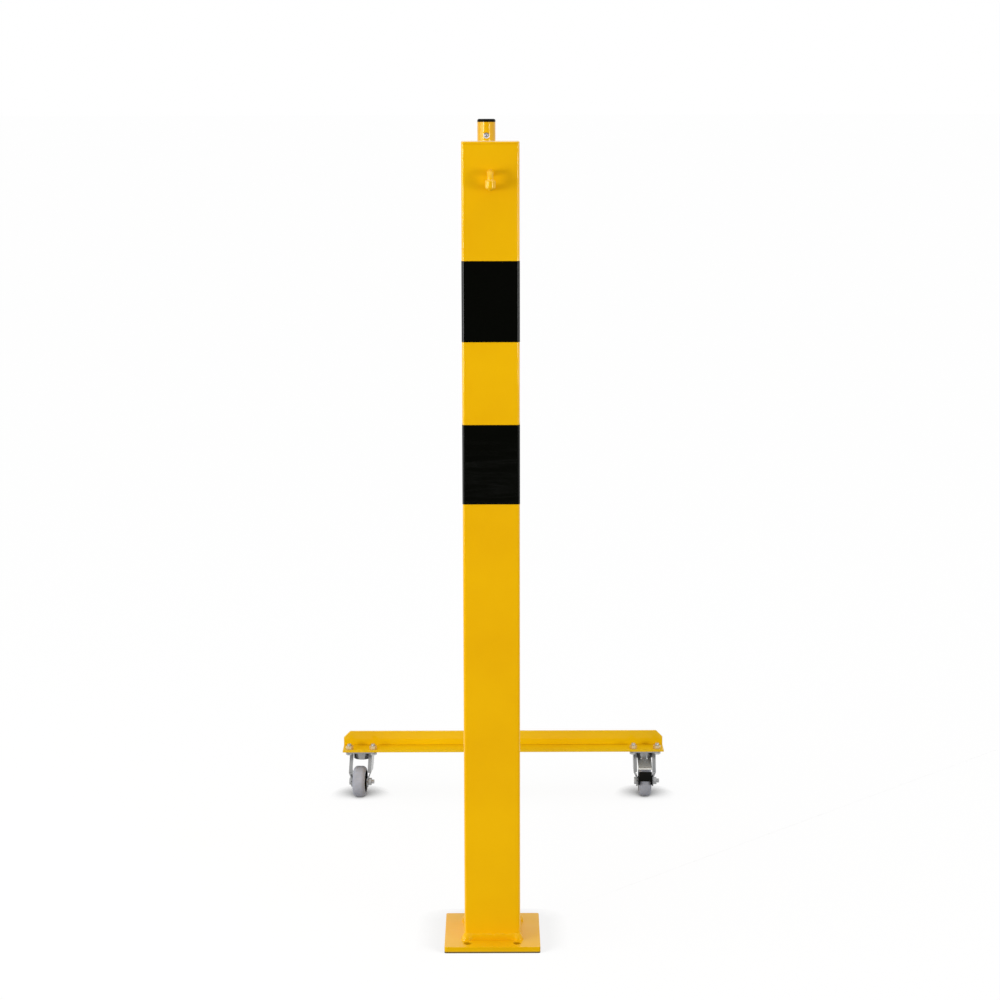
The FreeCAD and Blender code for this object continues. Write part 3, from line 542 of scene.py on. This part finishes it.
SEAM_WIDE = 0.0006            # half the width of the seam's foot
SEAM_TOP = 0.0003
SEAM_CROWN = 0.00002
SEAM_DEEP = 0.0004
RIB_COUNT = 6
RIB_THICK = 0.0016
RIB_HALF = 0.0068             # half of a rib's length along the axle
RIB_SPAN = (0.0065, 0.0150)   # from the hub to the rim
FILM = 0.0003
FILM_SUNK = 0.0002
OVERLAP = (-0.006, 0.009)     # where the film's overlap begins and ends across the post's back


def wheels(looks):
    """The mould seam round each tyre and the ribs of each wheel centre."""
    for side in ("left", "right"):
        place, axis = joint_at(f"{side}_wheel_spin")
        radius = place.z
        seam = Shape()
        seam.turn(place, axis, [(-SEAM_WIDE, radius - SEAM_DEEP), (-SEAM_TOP, radius - SEAM_CROWN), (0, radius),
                                (SEAM_TOP, radius - SEAM_CROWN), (SEAM_WIDE, radius - SEAM_DEEP)], 160)
        mesh_piece(f"{side}_tyre_seam", seam.points, seam.faces, f"{side}_wheel", "grey_rubber", looks)
        ribs = Shape()
        side_way = axis.orthogonal().normalized()
        other = axis.cross(side_way)
        for index in range(RIB_COUNT):
            angle = math.tau * index / RIB_COUNT
            out = side_way * math.cos(angle) + other * math.sin(angle)
            across = axis.cross(out) * (RIB_THICK / 2)
            rings = []
            for distance in RIB_SPAN:
                spot = place + out * distance
                rings.append([spot + axis * (way_a * RIB_HALF) + across * way_b
                              for way_a, way_b in ((-1, -1), (1, -1), (1, 1), (-1, 1))])
            ribs.sweep(rings, closed=False)
        mesh_piece(f"{side}_wheel_ribs", ribs.points, ribs.faces, f"{side}_wheel", "black_plastic", looks)


def band_seams(looks):
    """The film's overlap, down the middle of the post's back on each band."""
    low, high = corners("black_bands")
    shape = Shape()
    for foot in (low.z, high.z - BAND_LENGTH):
        shape.slab((OVERLAP[0], high.y - FILM_SUNK, foot), (OVERLAP[1], high.y + FILM, foot + BAND_LENGTH))
    mesh_piece("band_seams", shape.points, shape.faces, "fixed_post", "black_film", looks)


EDGES = {                     # how much of a node's sharp edges is worn or rolled round, in metres
    0.0012: ["base_plate"],
    0.0007: ["post_lid"],
    0.0006: ["guide_brackets", "foot_flange", "foot_web", "end_collar", "lower_collar", "front_slider",
             "rear_slider", "brake_pedal"],
    0.0004: ["castor_plates", "castor_bolts", "castor_nuts", "left_fork", "right_fork", "left_axle_bolt",
             "right_axle_bolt", "left_axle_nut", "right_axle_nut", "left_wheel_core", "right_wheel_core",
             "guide_tube", "end_tube"],
    0.0003: ["brake_leaf"],
}
BAR_EDGE = 0.0006
RIVET_EDGE = 0.0003
WELD_REACH = 0.00001
FLAT = math.radians(0.5)      # faces that turn less than this are one flat face
ROUNDED = math.radians(42)    # edges that turn more than this are rounded


def soften_edges():
    """Rounds the carried-over nodes' sharp edges a little."""
    widths = {node: width for width, nodes in EDGES.items() for node in nodes}
    for node in frame["nodes"]:
        if node.startswith("bar_"):
            widths[node] = BAR_EDGE
        elif node.startswith("rivets_"):
            widths[node] = RIVET_EDGE
    for node, width in widths.items():
        modifiers = frame["nodes"][node].modifiers
        weld = modifiers.new("weld", "WELD")
        weld.merge_threshold = WELD_REACH
        flat = modifiers.new("flat", "DECIMATE")
        flat.decimate_type = "DISSOLVE"
        flat.angle_limit = FLAT
        bevel = modifiers.new("edges", "BEVEL")
        bevel.width = width
        bevel.segments = 2
        bevel.limit_method = "ANGLE"
        bevel.angle_limit = ROUNDED
        shading = modifiers.new("shading", "WEIGHTED_NORMAL")
        shading.weight = 50


# ---- studio ----------------------------------------------------------------------------------------------------

def seen_directly(tree):
    """1 for camera, mirror and refracted rays, and 0 for the rays that only carry light."""
    path = tree.nodes.new("ShaderNodeLightPath")
    total = path.outputs["Is Camera Ray"]
    for ray in ("Is Glossy Ray", "Is Transmission Ray"):
        either = tree.nodes.new("ShaderNodeMath")
        either.operation = "MAXIMUM"
        tree.links.new(total, either.inputs[0])
        tree.links.new(path.outputs[ray], either.inputs[1])
        total = either.outputs[0]
    return total


def white_world(light):
    """A world that looks white and lights the object at the given strength."""
    world = bpy.data.worlds.new("studio")
    bpy.context.scene.world = world
    world.use_nodes = True
    tree = world.node_tree
    background = tree.nodes["Background"]
    background.inputs["Color"].default_value = (1, 1, 1, 1)
    tree.links.new(spread(tree, seen_directly(tree), 0, 1, light, 1.0), background.inputs["Strength"])


def white_floor():
    """A floor that looks white and takes a soft shadow, but gives back less light than it shows."""
    bpy.ops.mesh.primitive_plane_add(size=400)
    floor = bpy.context.object
    floor.name = "studio_floor"
    material, tree, shader = new_material("studio_floor", Roughness=1.0, Specular_IOR_Level=0.0)
    seen = seen_directly(tree)
    tree.links.new(spread(tree, seen, 0, 1, FLOOR_BOUNCE, 1.0), shader.inputs["Base Color"])
    glow = add_node(tree, "ShaderNodeEmission", Strength=1.0)
    contact = add_node(tree, "ShaderNodeAmbientOcclusion", Distance=CONTACT_REACH)
    towards_light = add_node(tree, "ShaderNodeCombineXYZ", **CONTACT_LEAN)
    tree.links.new(towards_light.outputs["Vector"], contact.inputs["Normal"])
    parts = tree.nodes.new("ShaderNodeSeparateXYZ")
    tree.links.new(object_points(tree), parts.inputs["Vector"])
    lift = tree.nodes.new("ShaderNodeMath")
    lift.operation = "MAXIMUM"
    tree.links.new(spread(tree, parts.outputs["Y"], *CONTACT_FROM, CONTACT_FAINT, 0.0), lift.inputs[0])
    tree.links.new(contact.outputs["AO"], lift.inputs[1])
    tree.links.new(spread(tree, lift.outputs[0], CONTACT_DARK, 1, 0.0, 1.0), glow.inputs["Color"])
    mix = tree.nodes.new("ShaderNodeMixShader")
    tree.links.new(spread(tree, seen, 0, 1, 0.0, FLOOR_GLOW), mix.inputs["Fac"])
    tree.links.new(shader.outputs["BSDF"], mix.inputs[1])
    tree.links.new(glow.outputs["Emission"], mix.inputs[2])
    tree.links.new(mix.outputs["Shader"], tree.nodes["Material Output"].inputs["Surface"])
    floor.data.materials.append(material)


def dark_flag(name, place, tilt, width, depth):
    """A dark studio panel seen only in reflections, so that black and yellow stay deep and zinc has contrast."""
    bpy.ops.mesh.primitive_plane_add(size=1)
    flag = bpy.context.object
    flag.name = name
    flag.location = place
    flag.rotation_euler = (math.radians(tilt), 0, 0)
    flag.scale = (width, depth, 1)
    for way in ("camera", "diffuse", "transmission", "shadow", "volume_scatter"):
        setattr(flag, f"visible_{way}", False)
    flag.data.materials.append(new_material(name, Base_Color=(0.01, 0.01, 0.01, 1), Roughness=1.0,
                                            Specular_IOR_Level=0.0)[0])


def add_lamp(name, lamp, place, turn):
    holder = bpy.data.objects.new(name, lamp)
    bpy.context.scene.collection.objects.link(holder)
    holder.location = place
    holder.rotation_euler = turn


def soft_light(name, place, target, width, power):
    """A square softbox of the given width and power in watts at place, aimed at target."""
    lamp = bpy.data.lights.new(name, "AREA")
    lamp.shape = "SQUARE"
    lamp.size = width
    lamp.energy = power
    add_lamp(name, lamp, place, (Vector(target) - Vector(place)).to_track_quat("-Z", "Y").to_euler())


def top_light():
    """A wide, even light from straight above."""
    lamp = bpy.data.lights.new("top_light", "SUN")
    lamp.energy = TOP_LIGHT * math.pi
    lamp.angle = math.radians(80)
    add_lamp("top_light", lamp, (0, 0, 5), (0, 0, 0))


FLAG_LEVEL = 0.003            # how high the flags that lie on the floor are


def studio():
    """White all round, dark flags in front, a softbox on each side, a strip from the left and a light from above."""
    white_world(WORLD_LIGHT)
    white_floor()
    dark_flag("front_flag", (0, -3.6, 0.6), 90, 6.0, 1.8)
    dark_flag("floor_flag", (0, -1.83, FLAG_LEVEL), 0, 5.0, 3.34)
    dark_flag("post_flag", (0, -0.105, FLAG_LEVEL), 0, 0.3, 0.12)
    soft_light("left_box", (-3.0, -2.8, 0.7), (0, 0.2, 0.6), 1.0, 49)
    soft_light("right_box", (3.0, -2.8, 0.7), (0, 0.2, 0.6), 1.0, 43)
    soft_light("left_strip", (-1.9, -0.35, 0.7), (0, 0.0, 0.6), 1.2, 14)
    top_light()


def camera():
    """The camera is about as high as the post's top and looks along the barrier's depth."""
    data = bpy.data.cameras.new("camera")
    data.sensor_width = SENSOR
    data.lens = FOCAL_SHARE * SENSOR
    data.shift_y = SHIFT_Y
    holder = bpy.data.objects.new("camera", data)
    bpy.context.scene.collection.objects.link(holder)
    aim = (Matrix.Rotation(math.radians(-CAMERA_YAW), 4, "Z")
           @ Matrix.Rotation(math.radians(90 - CAMERA_PITCH), 4, "X")
           @ Matrix.Rotation(math.radians(CAMERA_ROLL), 4, "Z"))
    holder.matrix_world = Matrix.Translation(CAMERA_PLACE) @ aim
    bpy.context.scene.camera = holder


looks = paint_nodes()
welds(looks)
fasteners(looks)
round_headed_pin(looks)
wheels(looks)
band_seams(looks)
soften_edges()
studio()
camera()
bpy.context.scene.view_settings.view_transform = "Standard"
